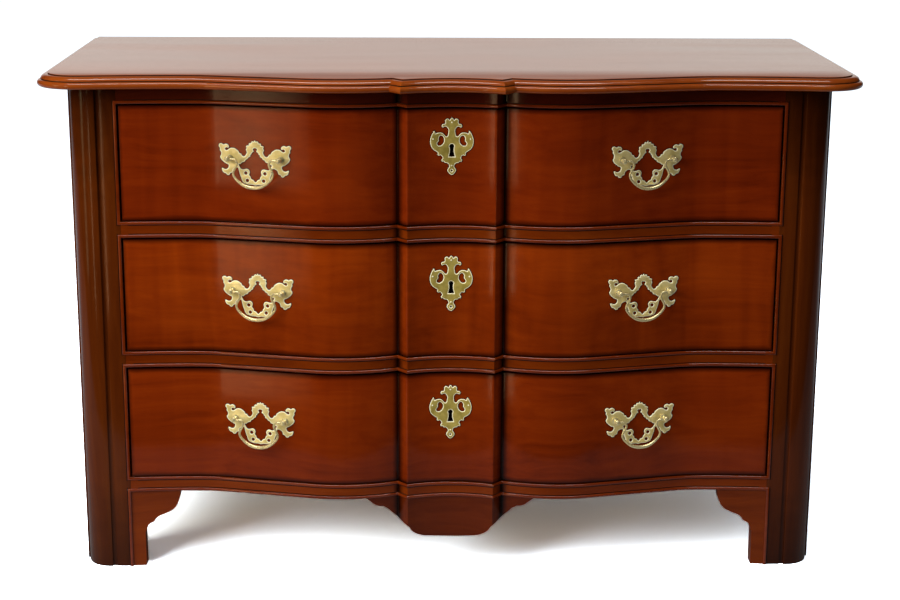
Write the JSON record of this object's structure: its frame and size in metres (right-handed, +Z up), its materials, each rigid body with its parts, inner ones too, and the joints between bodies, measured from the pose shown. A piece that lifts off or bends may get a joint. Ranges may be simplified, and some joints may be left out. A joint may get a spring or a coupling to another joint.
{
  "type": "commode chest",
  "caption": "Serpentine-front commode chest on bracket feet, with long drawers, moulded top, pierced brass backplates, swinging bail handles and keyhole escutcheons",
  "frame": {"origin": "middle of the footprint, on the floor", "axes": "+Z up, the drawers open toward -Y, +X to the right of someone who faces the chest"},
  "size_m": [1.24, 0.565, 0.786],
  "materials": {
    "mahogany": "french polished",
    "mahogany_figured": "figured veneer, french polished",
    "inner_wood": "planed, unfinished",
    "drawer_lining": "planed oak",
    "brass": "aged cast brass",
    "lock_steel": "darkened steel"
  },
  "bodies": {
    "carcase": {"back_boards": "inner_wood", "bottom_board": "inner_wood", "bottom_rail": "mahogany", "centre_apron": "mahogany", "drawer_guides": "inner_wood", "drawer_rail_1": "mahogany", "drawer_rail_2": "mahogany", "drawer_runners": "inner_wood", "drawer_stops": "inner_wood", "frieze_rail": "mahogany", "glue_blocks": "inner_wood", "left_base_bracket": "mahogany", "left_front_post": "mahogany", "left_rear_post": "inner_wood", "left_side_panel": "mahogany", "rear_rails": "inner_wood", "right_base_bracket": "mahogany", "right_front_post": "mahogany", "right_rear_post": "inner_wood", "right_side_panel": "mahogany", "top_board": "mahogany"},
    "drawer_1": {"drawer_1_front": "mahogany_figured", "drawer_1_right_side": "drawer_lining", "drawer_1_left_side": "drawer_lining", "drawer_1_back": "drawer_lining", "drawer_1_bottom": "drawer_lining", "drawer_1_lock_case": "lock_steel", "drawer_1_escutcheon": "brass", "drawer_1_right_plate": "brass", "drawer_1_left_plate": "brass", "drawer_1_handle_posts": "brass"},
    "bail_1_right": {"drawer_1_right_bail": "brass"},
    "bail_1_left": {"drawer_1_left_bail": "brass"},
    "bolt_1": {"drawer_1_lock_bolt": "lock_steel"},
    "drawer_2": {"drawer_2_front": "mahogany_figured", "drawer_2_right_side": "drawer_lining", "drawer_2_left_side": "drawer_lining", "drawer_2_back": "drawer_lining", "drawer_2_bottom": "drawer_lining", "drawer_2_lock_case": "lock_steel", "drawer_2_escutcheon": "brass", "drawer_2_right_plate": "brass", "drawer_2_left_plate": "brass", "drawer_2_handle_posts": "brass"},
    "bail_2_right": {"drawer_2_right_bail": "brass"},
    "bail_2_left": {"drawer_2_left_bail": "brass"},
    "bolt_2": {"drawer_2_lock_bolt": "lock_steel"},
    "drawer_3": {"drawer_3_front": "mahogany_figured", "drawer_3_right_side": "drawer_lining", "drawer_3_left_side": "drawer_lining", "drawer_3_back": "drawer_lining", "drawer_3_bottom": "drawer_lining", "drawer_3_lock_case": "lock_steel", "drawer_3_escutcheon": "brass", "drawer_3_right_plate": "brass", "drawer_3_left_plate": "brass", "drawer_3_handle_posts": "brass"},
    "bail_3_right": {"drawer_3_right_bail": "brass"},
    "bail_3_left": {"drawer_3_left_bail": "brass"},
    "bolt_3": {"drawer_3_lock_bolt": "lock_steel"}
  },
  "joints": [
    {"name": "drawer_1_slide", "type": "slide", "parent": "carcase", "child": "drawer_1", "axis": [0, -1, 0], "range_m": [0, 0.36]},
    {"name": "bail_1_right_hinge", "type": "hinge", "parent": "drawer_1", "child": "bail_1_right", "pos_m": [0.29741, -0.2232, 0.6595], "axis": [-0.9735, -0.2289, 0], "range_deg": [-10, 190]},
    {"name": "bail_1_left_hinge", "type": "hinge", "parent": "drawer_1", "child": "bail_1_left", "pos_m": [-0.29741, -0.2232, 0.6595], "axis": [-0.9735, 0.2289, 0], "range_deg": [-10, 190]},
    {"name": "bolt_1_slide", "type": "slide", "parent": "drawer_1", "child": "bolt_1", "axis": [0, 0, 1], "range_m": [0, 0.009]},
    {"name": "drawer_2_slide", "type": "slide", "parent": "carcase", "child": "drawer_2", "axis": [0, -1, 0], "range_m": [0, 0.36]},
    {"name": "bail_2_right_hinge", "type": "hinge", "parent": "drawer_2", "child": "bail_2_right", "pos_m": [0.29741, -0.2232, 0.4545], "axis": [-0.9735, -0.2289, 0], "range_deg": [-10, 190]},
    {"name": "bail_2_left_hinge", "type": "hinge", "parent": "drawer_2", "child": "bail_2_left", "pos_m": [-0.29741, -0.2232, 0.4545], "axis": [-0.9735, 0.2289, 0], "range_deg": [-10, 190]},
    {"name": "bolt_2_slide", "type": "slide", "parent": "drawer_2", "child": "bolt_2", "axis": [0, 0, 1], "range_m": [0, 0.009]},
    {"name": "drawer_3_slide", "type": "slide", "parent": "carcase", "child": "drawer_3", "axis": [0, -1, 0], "range_m": [0, 0.36]},
    {"name": "bail_3_right_hinge", "type": "hinge", "parent": "drawer_3", "child": "bail_3_right", "pos_m": [0.29741, -0.2232, 0.2495], "axis": [-0.9735, -0.2289, 0], "range_deg": [-10, 190]},
    {"name": "bail_3_left_hinge", "type": "hinge", "parent": "drawer_3", "child": "bail_3_left", "pos_m": [-0.29741, -0.2232, 0.2495], "axis": [-0.9735, 0.2289, 0], "range_deg": [-10, 190]},
    {"name": "bolt_3_slide", "type": "slide", "parent": "drawer_3", "child": "bolt_3", "axis": [0, 0, 1], "range_m": [0, 0.009]}
  ]
}
